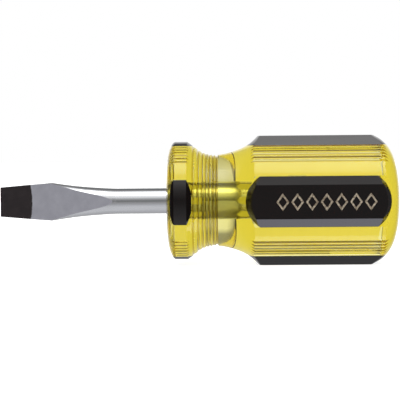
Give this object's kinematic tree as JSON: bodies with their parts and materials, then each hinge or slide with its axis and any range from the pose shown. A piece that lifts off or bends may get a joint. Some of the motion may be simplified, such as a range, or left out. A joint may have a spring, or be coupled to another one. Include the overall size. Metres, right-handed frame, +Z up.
{
  "type": "screwdriver",
  "caption": "Stubby slotted screwdriver: short flared steel blade with a dark ground tip, set in a fluted clear amber handle with raised black grip panels.",
  "frame": {"origin": "on the surface the tool lies on, under the middle of its bounding box: the bottom panel's flat is at Z = 0 and the tool axis is parallel to X at Z = 14.6 mm", "axes": "+X from the tip to the butt along the tool axis, +Z up, -Y out of the marked front panel"},
  "size_m": [0.0906, 0.0292, 0.0292],
  "materials": {
    "steel": "bright plated shank, satin ground faces, dark oxide tip",
    "amber_plastic": "clear amber cellulose acetate, polished",
    "black_plastic": "gloss black",
    "foil": "pale champagne hot-stamping foil"
  },
  "bodies": {
    "root": {"blade": "steel", "handle": "amber_plastic", "body_panel_front": "black_plastic", "body_panel_back": "black_plastic", "body_panel_top": "black_plastic", "body_panel_bottom": "black_plastic", "collar_panel_front": "black_plastic", "collar_panel_back": "black_plastic", "collar_panel_top": "black_plastic", "collar_panel_bottom": "black_plastic", "foil_mark": "foil"}
  },
  "joints": []
}
